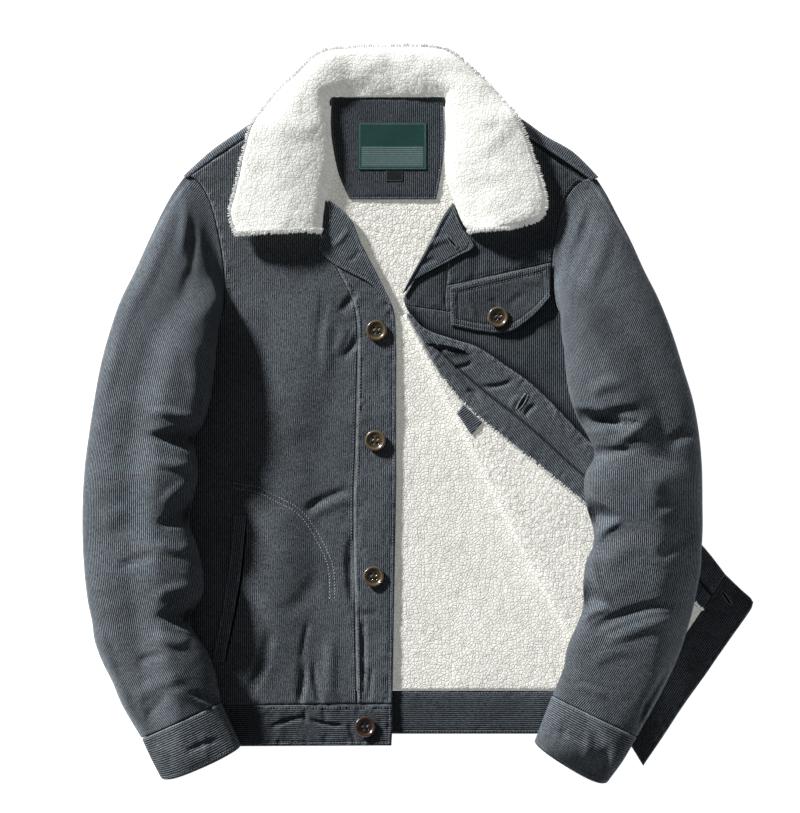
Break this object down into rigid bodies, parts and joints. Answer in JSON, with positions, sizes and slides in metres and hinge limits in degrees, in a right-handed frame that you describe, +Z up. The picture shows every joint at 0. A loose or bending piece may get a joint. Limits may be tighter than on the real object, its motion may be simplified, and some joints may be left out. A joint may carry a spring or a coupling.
{
  "type": "sherpa lined corduroy jacket, laid flat",
  "caption": "Waist length corduroy jacket with a pile collar and lining, laid flat with its left front turned back below the chest.",
  "frame": {"origin": "middle of the laid garment, on the surface that it lies on", "axes": "+Y from the hem towards the collar, +X from the wearer's right sleeve to the left one, +Z up from the surface"},
  "size_m": [0.709, 0.7759, 0.0749],
  "materials": {
    "corduroy": "ribbed cotton corduroy, soft nap",
    "sherpa": "curly off-white pile",
    "label": "woven label",
    "size_tab": "woven tape",
    "horn": "polished imitation horn",
    "dark_horn": "polished imitation horn, dark"
  },
  "bodies": {
    "root": {"back": "corduroy", "back_waistband": "corduroy", "neck_patch": "corduroy", "front_right": "corduroy", "placket_right": "corduroy", "waistband_right": "corduroy", "welt_right": "corduroy", "lapel_right": "corduroy", "placket_left": "corduroy", "front_left_yoke": "corduroy", "front_left": "corduroy", "front_left_facing": "corduroy", "waistband_left": "corduroy", "inside_tab": "corduroy", "pocket_flap": "corduroy", "lapel_left": "corduroy", "shoulder_right": "corduroy", "shoulder_left": "corduroy", "sleeve_right": "corduroy", "sleeve_left": "corduroy", "cuff_right": "corduroy", "cuff_left": "corduroy", "back_lining": "sherpa", "front_left_lining": "sherpa", "collar": "sherpa", "neck_label": "label", "size_tab": "size_tab", "button_top": "horn", "button_middle": "horn", "button_bottom": "horn", "button_pocket": "horn", "button_waistband": "dark_horn"}
  },
  "joints": []
}
